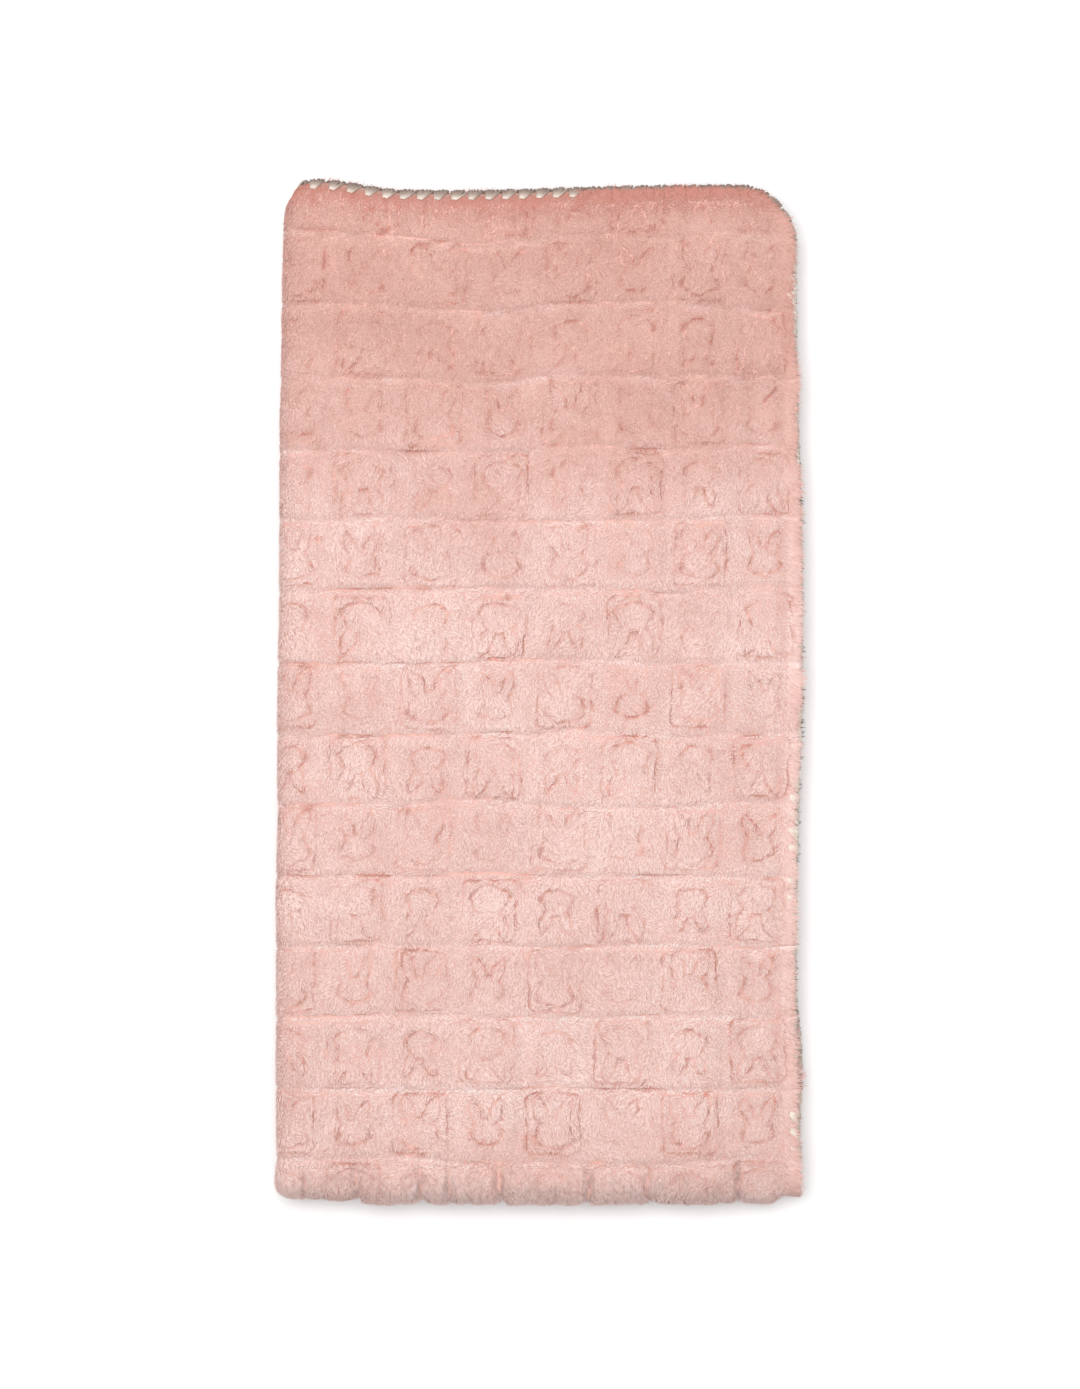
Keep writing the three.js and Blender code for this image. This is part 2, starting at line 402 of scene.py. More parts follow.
def right_at(y):
    above = np.maximum(0.0, y - (cut_top - corner_radius))
    inward = np.sqrt(np.maximum(0.0, corner_radius**2 - above**2))
    return cut_right - corner_radius + inward


def flat_place(u, v):
    """Where a point of the cloth is on its leaf, leaving out the turns round the folds."""
    x = leaf_start + np.maximum(0.0, u) + np.maximum(0.0, -u - side_arc)
    y = np.maximum(0.0, v) + np.maximum(0.0, -v - bottom_arc)
    return x, y


def to_edge(u, v):
    return edge_distance(*flat_place(u, v))


def along_edge(u, v):
    """1 at the free edge, and 0 away from it."""
    return 1.0 - smooth(to_edge(u, v) / edge_zone)


def drape(x, y, height, lower):
    """The stack sags towards its free edges, and its outline wanders."""
    across = x / cut_right
    climb = (y / cut_top) ** 2
    peek = np.sin(math.pi * np.minimum(1.0, y / peek_length)) ** 2
    peek = np.where(lower, peek_reach * peek * np.maximum(0.0, across) ** peek_fade, 0.0)
    near = 1.0 - smooth(edge_distance(x + peek, y) / sag_width)
    turn = 2.0 * math.pi * (y - right_wave_place) / right_wave_length
    wave = right_wave * (np.cos(turn) - 1.0)
    in_corner = np.clip(y - cut_top + corner_round, 0.0, corner_round)
    nip = corner_round - np.sqrt(corner_round**2 - in_corner**2)
    nip = nip + corner_taper * smooth((y - cut_top + corner_taper_length) / corner_taper_length)
    near_top = smooth((y - cut_top + corner_rise_length) / corner_rise_length)
    rise = corner_rise * near_top * smooth((corner_rise_start - x) / corner_rise_length)
    left = np.maximum(0.0, 1.0 - across)
    drift = left_drift * climb * (1.0 - across) + nip * left**corner_nip_fade
    dip = top_dip * bell(x - top_dip_place, top_dip_width)
    y = y - dip * climb + rise
    return x + peek + wave * across + drift, y, height * (1.0 - edge_sag * near)


def place(u, v, free, squeezed):
    """Places in millimetres of points that are so far from their half's middle plane."""
    u, v, free, squeezed = np.broadcast_arrays(*np.atleast_1d(u, v, free, squeezed))
    x, y = flat_place(u, v)
    pinch = 1.0 - smooth((edge_distance(x, y) - pinch_length) / puff_length)
    radius = mix(free, squeezed, pinch)
    side_turn = np.clip(-u / side_fold_radius, 0.0, math.pi)
    bottom_turn = np.clip(-v / fold_radius, 0.0, math.pi)
    level = book_middle + radius * np.cos(side_turn)
    height = fold_radius + level * np.cos(bottom_turn)
    x, y, z = drape(x - radius * np.sin(side_turn), y, height, v < -bottom_arc)
    y = y - level * np.sin(bottom_turn)
    return np.stack([x + side_fold_at, y + hinge[1], z], axis=-1)


def in_plush(u, v, depth):
    """Places at a depth under the tips of the pile."""
    share = depth / plush_thickness
    return place(u, v, plush_face[0] - depth, plush_face[1] - pinched_plush * share)


# What the shears leave


def tile_of(u, v):
    """The tile's column and row, and the place from the tile's middle."""
    x = leaf_start + u
    along = np.clip(v / cut_top, 0.0, 1.0)
    lean = mix(columns_lean_low, columns_lean_high, along)
    x = x - lean * np.sin(math.pi * np.clip(x / folded_width, 0.0, 1.0))
    column = (x - column_start) / tile_width
    row = (v - row_start) / tile_length
    across = (column - np.floor(column) - 0.5) * tile_width
    up = (row - np.floor(row) - 0.5) * tile_length
    return np.floor(column), np.floor(row), across, up


def above_crease(u, v):
    """How far above the nearest crease between two rows of tiles, negative below it."""
    up = v - row_start + layered(u, v, row_wander)
    return up - tile_length * np.floor(up / tile_length + 0.5)


def turned_about(x, y, middle_x, middle_y, tilt):
    x, y = x - middle_x, y - middle_y
    return x * math.cos(tilt) + y * math.sin(tilt), y * math.cos(tilt) - x * math.sin(tilt)


def oval(x, y, middle_x, middle_y, half_width, half_height, tilt):
    """Rough distance to an oval's outline, negative inside it."""
    turned_x, turned_y = turned_about(x, y, middle_x, middle_y, tilt)
    out = np.hypot(turned_x / half_width, turned_y / half_height)
    return (out - 1.0) * min(half_width, half_height)


def leaf_shape(x, y, middle_x, middle_y, half_length, bulge, tilt):
    """Distance to a shape between two arcs, pointed at both ends, negative inside it."""
    turned_x, turned_y = turned_about(x, y, middle_x, middle_y, tilt)
    arc_radius = (half_length**2 + bulge**2) / (2.0 * bulge)
    return np.hypot(np.abs(turned_x) + arc_radius - bulge, turned_y) - arc_radius


def bunny_head(x, y):
    """Rough distance to the outline of a round head with cheeks and two long pointed ears
    that lean outwards, and no face."""
    head = np.minimum(oval(x, y, *head_oval), oval(x, y, *cheeks_oval))
    left_ear = leaf_shape(x, y, -ear_across, ear_up, ear_half_length, ear_bulge, ear_lean)
    right_ear = leaf_shape(x, y, ear_across, ear_up, ear_half_length, ear_bulge, -ear_lean)
    return np.minimum(head, np.minimum(left_ear, right_ear))


def line_distance(u, v):
    """How far the nearest of the shears' lines is."""
    column, row, across, up = tile_of(u, v)
    x = across + layered(u, v, line_wander_across)
    y = up + layered(u, v, line_wander_up)
    boxed = np.mod(column + row, 2) == 1
    upright = np.where(np.mod(row, 2) == 0, 1.0, -1.0)
    size = np.where(boxed, boxed_head_size, plain_head_size)
    head = bunny_head(x / size, y * upright / size) * size
    out_x = np.maximum(0.0, np.abs(x) - (box_half_width - box_corner))
    out_y = np.maximum(0.0, np.abs(y) - (box_half_length - box_corner))
    box = np.hypot(out_x, out_y) - box_corner
    carved = np.minimum(np.abs(head), np.where(boxed, np.abs(box), far_off))
    closed = crease_gap * np.maximum(0.0, crease_gap_share + layered(u, v, crease_gap_swells))
    return np.minimum(carved, np.abs(above_crease(u, v)) + closed)


def line_strength(u, v):
    """How clearly the lines show, from 0 to 1: the pile has closed over them here and there."""
    strength = line_clearness + layered(u, v, clearness_swells)
    on_leaf = 1.0 - fading_on_bottom_fold * on_bottom_fold(v)
    on_leaf = on_leaf * (1.0 - fading_on_side_fold * round_side_fold(u))
    return np.clip(strength, faintest_line, 1.0) * on_leaf


def carved_lines(u, v):
    """How deeply a line is cut, from 0 to 1."""
    return bell(line_distance(u, v), line_width) * line_strength(u, v)


def round_side_fold(u):
    """0 where the side fold starts and ends, and 1 at its middle."""
    return np.sin(np.clip(-u / side_fold_radius, 0.0, math.pi))


def round_bottom_fold(v):
    """0 where the bottom fold starts and ends, and 1 at its middle."""
    return np.sin(np.clip(-v / fold_radius, 0.0, math.pi))


def on_bottom_fold(v):
    """1 round the bottom fold and 0 on the flat leaves."""
    above = smooth((fold_band_above - v) / fold_fade_above)
    return above * smooth((v + bottom_arc + fold_band_below) / fold_fade_below)


def tufts(u, v):
    """The way to the middle of the nearest tuft, and a number of its own from 0 to 1."""
    spread = np.random.default_rng(tuft_seed).uniform(0.0, 1.0, (lattice_size, lattice_size, 3))
    u = u + layered(u, v, tuft_wander_across)
    v = v + layered(u, v, tuft_wander_up)
    column, row = np.floor(u / tuft_size).astype(int), np.floor(v / tuft_size).astype(int)
    nearest = np.full(u.shape, np.inf)
    away_u, away_v, own = np.zeros(u.shape), np.zeros(u.shape), np.zeros(u.shape)
    for di in (-1, 0, 1):
        for dj in (-1, 0, 1):
            spot = spread[(column + di) % lattice_size, (row + dj) % lattice_size]
            to_u = (column + di + spot[..., 0]) * tuft_size - u
            to_v = (row + dj + spot[..., 1]) * tuft_size - v
            distance = np.hypot(to_u, to_v)
            closer = distance < nearest
            nearest = np.where(closer, distance, nearest)
            away_u = np.where(closer, to_u, away_u)
            away_v = np.where(closer, to_v, away_v)
            own = np.where(closer, spot[..., 2], own)
    return away_u, away_v, own


def relief(u, v):
    """How far the tips lie under the highest ones, without the cut lines."""
    from_column = tile_width / 2 - np.abs(tile_of(u, v)[2])
    row_joint = bell(above_crease(u, v), row_joint_width)
    column_joint = bell(from_column, column_joint_width)
    joints = np.maximum(row_joint, column_joint_depth * column_joint)
    from_left = leaf_start + u + layered(u, v, notch_wander)
    for notch_place, notch_depth in fold_notches:
        notch = notch_share * bell(from_left - notch_place, notch_width)
        joints = joints + notch_depth * on_bottom_fold(v) * notch
    # Long puffs across the fold, and shorter ones on them
    puffs = swells(u, 0.3 * v, 21.0, 54) + 0.6 * swells(u, 0.4 * v, 6.0, 56)
    puffs = fold_puff_depth * on_bottom_fold(v) * (puffs + 0.6 * swells(u, v, 10.0, 57))
    return np.maximum(0.0, least_depth + joints + layered(u, v, rolls) + puffs)


def crease_rim(u, v):
    """Where fibres comb up over a crease between two rows of tiles, from 0 to 1."""
    rim = bell(above_crease(u, v) + rim_place, rim_width)
    return rim * np.clip(rim_share + layered(u, v, rim_swells), 0.0, 1.0)


def stand_out(u, v):
    """How far the stretched pile stands out round the folds."""
    bottom = round_bottom_fold(v) * on_bottom_fold(v)
    bottom = bottom * mix(fold_proud_start, 1.0, smooth((leaf_start + u) / fold_proud_fade))
    bottom = (fold_proud + fold_proud_at_edge * along_edge(u, v)) * bottom
    return bottom + side_proud * round_side_fold(u)


def at_inner_crease(u, v, reach):
    """1 on the inner leaf at the bottom fold, and 0 farther off than reach."""
    away = np.maximum(0.0, v) + np.maximum(0.0, -v - bottom_arc)
    return (1.0 - smooth(away / reach)) * smooth((-u - side_arc) / inner_leaf_fade)


def facing(u, v, step=1.5):
    """The way that the pile's face looks, hollows and all."""
    left, right = [in_plush(a, v, relief(a, v)) for a in (u - step, u + step)]
    below, above = [in_plush(u, b, relief(u, b)) for b in (v - step, v + step)]
    return unit(np.cross(right - left, above - below))


# Shaders and node trees


class Wire:
    """A value on its way between nodes. Sums of wires add Math nodes."""

    def __init__(self, nodes, socket):
        self.nodes = nodes
        self.socket = socket

    def _math(self, operation, first, second):
        return self.nodes.add("ShaderNodeMath", {"operation": operation}, {0: first, 1: second})

    def __add__(self, other):
        return self._math("ADD", self, other)

    def __sub__(self, other):
        return self._math("SUBTRACT", self, other)

    def __rsub__(self, other):
        return self._math("SUBTRACT", other, self)

    def __mul__(self, other):
        return self._math("MULTIPLY", self, other)

    __radd__ = __add__
    __rmul__ = __mul__


class Nodes:
    """Adds nodes to a shader or geometry tree."""

    def __init__(self, tree):
        self.tree = tree

    def add(self, kind, settings=None, inputs=None, output=0):
        node = self.tree.nodes.new(kind)
        for name, value in (settings or {}).items():
            if name == "stops":
                self._set_stops(node.color_ramp, value)
            else:
                setattr(node, name, value)
        for name, value in (inputs or {}).items():
            if isinstance(value, Wire):
                self.tree.links.new(value.socket, node.inputs[name])
            else:
                node.inputs[name].default_value = value
        return Wire(self, node.outputs[output])

    @staticmethod
    def _set_stops(ramp, stops):
        while len(ramp.elements) < len(stops):
            ramp.elements.new(0.5)
        for element, (position, colour) in zip(ramp.elements, stops):
            element.position = position
            element.color = colour

    def split(self, vector):
        """The three numbers of a vector."""
        whole = self.add("ShaderNodeSeparateXYZ", None, {0: vector})
        return [Wire(self, output) for output in whole.socket.node.outputs]

    def noise(self, scale, detail):
        """Random specks or patches that stay with the piece."""
        where = self.add("ShaderNodeTexCoord", output=3)
        sizes = {0: where, "Scale": scale, "Detail": detail}
        return self.add("ShaderNodeTexNoise", {"noise_dimensions": "3D"}, sizes)

    def ramp(self, shade, stops):
        return self.add("ShaderNodeValToRGB", {"stops": stops}, {0: shade})

    def finish_shader(self, shader, colour, height=None, strength=0.0, distance=0.0):
        """Links the colour and a bump, which is so strong and so high in metres."""
        self.tree.links.new(colour.socket, shader.inputs["Base Color"])
        if height is not None:
            sizes = {"Strength": strength, "Distance": distance, "Height": height}
            bump = self.add("ShaderNodeBump", None, sizes)
            self.tree.links.new(bump.socket, shader.inputs["Normal"])

    def stored(self, geometry, name, value, kind="FLOAT", domain="POINT"):
        """Keeps a value on a mesh or curve under a name."""
        settings = {"data_type": kind, "domain": domain}
        inputs = {"Geometry": geometry, "Name": name, "Value": value}
        return self.add("GeometryNodeStoreNamedAttribute", settings, inputs)

    def mixed(self, factor, first, second, how="MIX"):
        """Two colours mixed."""
        settings = {"data_type": "RGBA", "blend_type": how}
        return self.add("ShaderNodeMix", settings, {0: factor, 6: first, 7: second}, 2)


def tint(red, green, blue):
    """A colour from its screen values, 0 to 255."""

    def linear(c):
        c = c / 255.0
        return c / 12.92 if c <= 0.04045 else ((c + 0.055) / 1.055) ** 2.4

    return (linear(red), linear(green), linear(blue), 1.0)


def new_material(name, sheen, roughness):
    """A material, its nodes and its shader, with what is the same all over set on the shader."""
    material = bpy.data.materials.new(name)
    material.use_nodes = True
    shader = material.node_tree.nodes["Principled BSDF"]
    shader.inputs["Roughness"].default_value = roughness
    shader.inputs["Specular IOR Level"].default_value = 0.15
    shader.inputs["Sheen Weight"].default_value = sheen
    shader.inputs["Sheen Roughness"].default_value = 0.6
    return material, Nodes(material.node_tree), shader


def fibre_material():
    """Fibres of the pile, darker at the root as painted shade deep in the pile. Their map holds the
    shade across and the height along the fibre, which is lower all along where painted shade darkens the
    fibre toward its root colour."""
    material, nodes, shader = new_material("blush_pile_fibre", 0.1, 0.85)
    shade, height, _ = nodes.split(nodes.add("ShaderNodeUVMap", {"uv_map": "OFBake"}))
    stops = [
        (0.0, tint(200, 136, 122)),
        (0.25, tint(207, 154, 143)),
        (0.5, tint(225, 179, 168)),
        (0.76, tint(248, 216, 209)),
        (1.0, tint(252, 236, 231)),
    ]
    tip = nodes.ramp(shade, stops)
    # Painted shade deep in the pile: the root is darker than the tip
    root = nodes.mixed(1.0, tip, (0.76, 0.71, 0.695, 1.0), "MULTIPLY")
    nodes.finish_shader(shader, nodes.mixed(height * 2.2, root, tip))
    return material


def backing_material():
    """The dense under-pile that shows between the fibres, deeper in the cut lines, with a brown painted
    shade along the seam.
    """
    material, nodes, shader = new_material("salmon_under_pile", 0.1, 0.95)
    cut = nodes.add("ShaderNodeAttribute", {"attribute_name": "cut"}, output=2)
    speckle = nodes.noise(900.0, 3.0)
    patch = nodes.noise(60.0, 2.0)
    depth = cut * 0.9 + (speckle - 0.5) * 0.5 + (patch - 0.5) * 0.4
    stops = [
        (0.0, tint(228, 180, 169)),
        (0.45, tint(224, 158, 144)),
        (1.0, tint(222, 136, 119)),
    ]
    pink = nodes.ramp(depth, stops)
    # A brown painted shade along the seam, most along the top edge
    brown = nodes.add("ShaderNodeAttribute", {"attribute_name": "handled"}, output=2)
    colour = nodes.mixed(brown, pink, tint(172, 132, 121))
    nodes.finish_shader(shader, colour, speckle, 0.4, 0.0008)
    return material


def lining_material():
    """Short pink pile with a fine nap and faint patches."""
    material, nodes, shader = new_material("brushed_pink_lining", 0.15, 0.92)
    nap = nodes.noise(700.0, 4.0)
    shade = (nap - 0.5) * 0.8 + nodes.noise(35.0, 2.0)
    stops = [(0.2, tint(218, 166, 155)), (0.85, tint(236, 197, 188))]
    nodes.finish_shader(shader, nodes.ramp(shade, stops), nap, 0.5, 0.0006)
    return material


def yarn_material():
    """Cream cotton yarn, with painted shade greying the outer side of each loop, as much as each loop
    carries.
    """
    material, nodes, shader = new_material("cream_cotton_yarn", 0.2, 0.85)
    fuzz = nodes.noise(1400.0, 3.0)
    patch = nodes.noise(90.0, 2.0)
    wear, over, _ = nodes.split(nodes.add("ShaderNodeUVMap", {"uv_map": "OFBake"}))
    # Painted shade: the outer side of each loop, where the yarn turns down over the edge, is darkened
    outer_side = over * (1.0 - over) * 4.0
    shade = fuzz * 0.3 + patch * 0.3 + 0.45 - outer_side * wear * 0.7
    stops = [
        (0.1, tint(124, 106, 97)),
        (0.4, tint(172, 153, 142)),
        (0.75, tint(234, 222, 210)),
    ]
    nodes.finish_shader(shader, nodes.ramp(shade, stops), fuzz, 0.5, 0.0004)
    return material


# Meshes


def shown(name, data):
    """An object in the scene: a mesh, a light or a camera."""
    thing = bpy.data.objects.new(name, data)
    bpy.context.scene.collection.objects.link(thing)
    return thing


def closed_sheet(name, us, vs, face, back, material, facts=None):
    """A thin closed sheet whose face and back are grids over the cloth."""
    us, vs = np.asarray(us, float), np.asarray(vs, float)
    v = np.repeat(vs[:, None], len(us), axis=1)
    width = (right_at(flat_place(0.0, vs)[1]) - leaf_start)[:, None]
    beyond = np.maximum(0.0, -us - side_arc)
    stretched = np.maximum(0.0, us) - beyond
    u = stretched[None, :] * width / leaf_width + np.clip(us, -side_arc, 0.0)[None, :]
    rows, columns = u.shape
    points = np.concatenate([face(u, v).reshape(-1, 3), back(u, v).reshape(-1, 3)])
    half = rows * columns
    index = np.arange(half).reshape(rows, columns)
    square = [index[:-1, :-1], index[:-1, 1:], index[1:, 1:], index[1:, :-1]]
    front = np.stack([s.ravel() for s in square], axis=1)
    rear = front[:, ::-1] + half
    loop = [*index[0, :], *index[1:, -1], *index[-1, -2::-1], *index[-2:0:-1, 0]]
    following = loop[1:] + loop[:1]
    rim = [(b, a, a + half, b + half) for a, b in zip(loop, following)]
    faces = np.concatenate([front, rear, np.array(rim)])
    corners = points[faces]
    fans = np.cross(corners[:, 1], corners[:, 2]) + np.cross(corners[:, 2], corners[:, 3])
    if np.sum(corners[:, 0] * fans) < 0:
        faces = faces[:, ::-1]
    mesh = bpy.data.meshes.new(name)
    mesh.from_pydata((points * MM).tolist(), [], faces.tolist())
    mesh.shade_smooth()
    mesh.materials.append(material)
    for key, amount in (facts or {}).items():
        fact = mesh.attributes.new(key, "FLOAT", "POINT")
        values = amount(u, v).ravel()
        fact.data.foreach_set("value", np.concatenate([values, values]).astype(np.float32))
    return shown(name, mesh)


def point_cloud(name, places, facts):
    """A mesh of loose points that carry named numbers and directions."""
    mesh = bpy.data.meshes.new(name)
    mesh.vertices.add(len(places))
    mesh.vertices.foreach_set("co", (places * MM).astype(np.float32).ravel())
    for key, values in facts.items():
        is_direction = values.ndim == 2
        kind = "FLOAT_VECTOR" if is_direction else "FLOAT"
        fact = mesh.attributes.new(key, kind, "POINT")
        fact.data.foreach_set(
            "vector" if is_direction else "value", values.astype(np.float32).ravel()
        )
    mesh.update()
    return shown(name, mesh)


def named(nodes, name, kind="FLOAT"):
    return nodes.add("GeometryNodeInputNamedAttribute", {"data_type": kind}, {"Name": name})


def direction(nodes, name):
    return named(nodes, name, "FLOAT_VECTOR")


def turned(nodes, first_axis, first, second_axis, second):
    """A rotation that takes one axis to a named direction and another nearly to a second."""
    rough = nodes.add(
        "FunctionNodeAlignRotationToVector", {"axis": first_axis}, {"Vector": direction(nodes, first)}
    )
    return nodes.add(
        "FunctionNodeAlignRotationToVector",
        {"axis": second_axis, "pivot_axis": first_axis},
        {"Rotation": rough, "Vector": direction(nodes, second)},
    )


def new_tree(name, sizes):
    """An empty geometry tree with inputs for its sizes and material, and its inputs' wires."""
    tree = bpy.data.node_groups.new(name, "GeometryNodeTree")
    for way in ("INPUT", "OUTPUT"):
        tree.interface.new_socket(name="Geometry", in_out=way, socket_type="NodeSocketGeometry")
    for size in sizes:
        tree.interface.new_socket(name=size, in_out="INPUT", socket_type="NodeSocketFloat")
    tree.interface.new_socket(name="Material", in_out="INPUT", socket_type="NodeSocketMaterial")
    nodes = Nodes(tree)
    start = tree.nodes.new("NodeGroupInput")
    wires = {socket.name: Wire(nodes, socket) for socket in start.outputs if socket.name}
    return tree, nodes, wires


def finish_tree(nodes, copies, across, up, material):
    """Stores the map on what was copied, sets the material and ends the tree."""
    spot = nodes.add("ShaderNodeCombineXYZ", None, {0: across, 1: up})
    mapped = nodes.stored(copies, "OFBake", spot, "FLOAT2", "CORNER")
    real = nodes.add("GeometryNodeRealizeInstances", None, {0: mapped})
    painted = nodes.add("GeometryNodeSetMaterial", None, {"Geometry": real, "Material": material})
    finish = nodes.tree.nodes.new("NodeGroupOutput")
    nodes.tree.links.new(painted.socket, finish.inputs[0])


def fibre_tree():
    """A slim three-sided spike on each point, its ridge up, so that it shows a front from
    anywhere. It takes light mostly as the cloth under it does."""
    tree, nodes, wires = new_tree("pile_fibres", ["Own shading"])
    spike = nodes.add(
        "GeometryNodeMeshCone",
        {"fill_type": "NONE"},
        {"Vertices": 3, "Radius Top": 0.0, "Radius Bottom": 0.5, "Depth": 1.0},
    )
    ridge, side, height = nodes.split(nodes.add("GeometryNodeInputPosition"))
    for key, value in (("side", side), ("height", height)):
        spike = nodes.stored(spike, key, value)
    flattened = {0: side * -spike_breadth, 1: ridge * spike_ridge, 2: height}
    shape = nodes.add("ShaderNodeCombineXYZ", None, flattened)
    spike = nodes.add("GeometryNodeSetPosition", None, {"Geometry": spike, "Position": shape})
    rotation = turned(nodes, "Z", "rise", "Y", "face")
    width = named(nodes, "width")
    scale = nodes.add(
        "ShaderNodeCombineXYZ", None, {0: width, 1: width, 2: named(nodes, "reach")}
    )
    fibres = nodes.add(
        "GeometryNodeInstanceOnPoints",
        None,
        {"Points": wires["Geometry"], "Instance": spike, "Rotation": rotation, "Scale": scale},
    )
    real = nodes.add("GeometryNodeRealizeInstances", None, {0: fibres})
    real = nodes.add("GeometryNodeSetShadeSmooth", None, {"Geometry": real})
    own_way = nodes.add(
        "ShaderNodeVectorMath",
        {"operation": "SCALE"},
        {0: nodes.add("GeometryNodeInputNormal"), "Scale": wires["Own shading"]},
    )
    way = nodes.add(
        "ShaderNodeVectorMath",
        {"operation": "ADD"},
        {0: own_way, 1: direction(nodes, "face")},
    )
    real = nodes.add(
        "GeometryNodeSetMeshNormal",
        {"mode": "TANGENT_SPACE"},
        {"Mesh": real, "Custom Normal": way},
    )
    # A little of the side keeps the map's faces from falling together
    shade = named(nodes, "shade") + named(nodes, "side") * side_shade
    height = named(nodes, "height") * named(nodes, "loft")
    finish_tree(nodes, real, shade, height, wires["Material"])
    return tree


def strand_tree():
    """A loop of yarn over the edge of the cloth on each point."""
    sizes = ["Reach", "Half height", "Yarn radius"]
    tree, nodes, wires = new_tree("shell_stitch_strands", sizes)
    arc = nodes.add(
        "GeometryNodeCurveArc",
        None,
        {"Resolution": 8, "Radius": 1.0, "Start Angle": -math.pi / 2, "Sweep Angle": math.pi},
    )
    arc = nodes.stored(arc, "over", nodes.add("GeometryNodeSplineParameter"))
    out, up, _ = nodes.split(nodes.add("GeometryNodeInputPosition"))
    path = nodes.add(
        "ShaderNodeCombineXYZ", None, {1: out * wires["Reach"], 2: up * wires["Half height"]}
    )
    loop = nodes.add("GeometryNodeSetPosition", None, {"Geometry": arc, "Position": path})
    ring = nodes.add(
        "GeometryNodeCurvePrimitiveCircle", None, {"Resolution": 5, "Radius": wires["Yarn radius"]}
    )
    strand = nodes.add(
        "GeometryNodeCurveToMesh", None, {"Curve": loop, "Profile Curve": ring, "Fill Caps": True}
    )
    rotation = turned(nodes, "Y", "out", "Z", "up")
    length = named(nodes, "reach")
    scale = nodes.add("ShaderNodeCombineXYZ", None, {0: 1.0, 1: length, 2: named(nodes, "lift")})
    strands = nodes.add(
        "GeometryNodeInstanceOnPoints",
        None,
        {"Points": wires["Geometry"], "Instance": strand, "Rotation": rotation, "Scale": scale},
    )
    real = nodes.add("GeometryNodeRealizeInstances", None, {0: strands})
    finish_tree(nodes, real, named(nodes, "wear"), named(nodes, "over"), wires["Material"])
    return tree


def grown(piece, tree, sizes):
    """Runs a tree on a piece's points and keeps the mesh that comes out."""
    modifier = piece.modifiers.new("made", "NODES")
    modifier.node_group = tree
    for item in tree.interface.items_tree:
        if item.in_out == "INPUT" and item.name in sizes:
            modifier[item.identifier] = sizes[item.name]
    graph = bpy.context.evaluated_depsgraph_get()
    mesh = bpy.data.meshes.new_from_object(piece.evaluated_get(graph))
    piece.modifiers.remove(modifier)
    points = piece.data
    mesh.name = piece.name
    piece.data = mesh
    bpy.data.meshes.remove(points)
    used = ("rise", "face", "width", "reach", "shade", "loft", "side", "height")
    for key in (*used, "out", "up", "lift", "wear", "over"):
        if key in mesh.attributes:
            mesh.attributes.remove(mesh.attributes[key])
    if not mesh.has_custom_normals:
        mesh.shade_smooth()
    return piece


# The pile


def slope(field, u, v, step=0.8):
    """Which way a field rises over the cloth, and how fast."""
    across = (field(u + step, v) - field(u - step, v)) / (2 * step)
    along = (field(u, v + step) - field(u, v - step)) / (2 * step)
    return across, along


def edging_cover(u, v):
    """How much of the stitches the pile covers: little at the left of the top edge."""
    at_top = smooth((v - cut_top + cover_top_band) / cover_top_fade)
    left = smooth((bare_top_width + bare_top_end - u) / bare_top_fade)
    at_side_fold = smooth((side_fold_band - u) / side_fold_fade)
    at_side_fold = at_side_fold * smooth((u + side_arc + side_fold_band) / side_fold_fade)
    cover = usual_cover + layered(u, v, cover_swells) + more_cover_at_top * at_top
    cover = mix(cover, bare_cover, at_top * left)
    return np.clip(mix(cover, side_fold_cover, at_side_fold), 0.0, 1.0)


def turned_back(values, low, high):
    """Values that passed an end of a span, turned back into it."""
    values = low + np.abs(values - low)
    return high - np.abs(high - values)


def rooted(u_span, v_span, gap, random):
    """Roots over a stretch of the cloth: more where the fibres hide the stitches, and none where
    the stitches lie bare."""
    columns = np.linspace(*u_span, round((u_span[1] - u_span[0]) / gap) + 1)
    rows = np.linspace(*v_span, round((v_span[1] - v_span[0]) / gap) + 1)
    u, v = np.meshgrid(columns, rows)
    u = u.ravel() + random.uniform(-root_scatter, root_scatter, u.size) * gap
    v = v.ravel() + random.uniform(-root_scatter, root_scatter, v.size) * gap
    v = turned_back(v, *v_span)
    fringe = np.abs(to_edge(u, v) - fringe_place) < fringe_half_width
    fringe = np.flatnonzero(fringe & (edging_cover(u, v) > 0.5)).repeat(2)
    off_u = random.uniform(-fringe_scatter, fringe_scatter, fringe.size) * gap
    off_v = random.uniform(-fringe_scatter, fringe_scatter, fringe.size) * gap
    u = np.concatenate([u, u[fringe] + off_u])
    v = turned_back(np.concatenate([v, v[fringe] + off_v]), *v_span)
    inside = to_edge(u, v) > closest_root + bare_edge * (1.0 - edging_cover(u, v))
    return u[inside], v[inside]


def kept_off_lines(u, v, du, dv):
    """The ways to the tips, shortened where they would cross a cut line."""
    room = np.maximum(0.0, line_distance(u, v) - line_half_gap)
    off_u, off_v = slope(line_distance, u, v, 0.4)
    steepness = np.maximum(1.0, np.hypot(off_u, off_v))
    off_u, off_v = off_u / steepness, off_v / steepness
    too_far = np.maximum(0.0, -du * off_u - dv * off_v - room)
    too_far = too_far * smooth(line_keep_off * line_strength(u, v))
    return du + too_far * off_u, dv + too_far * off_v


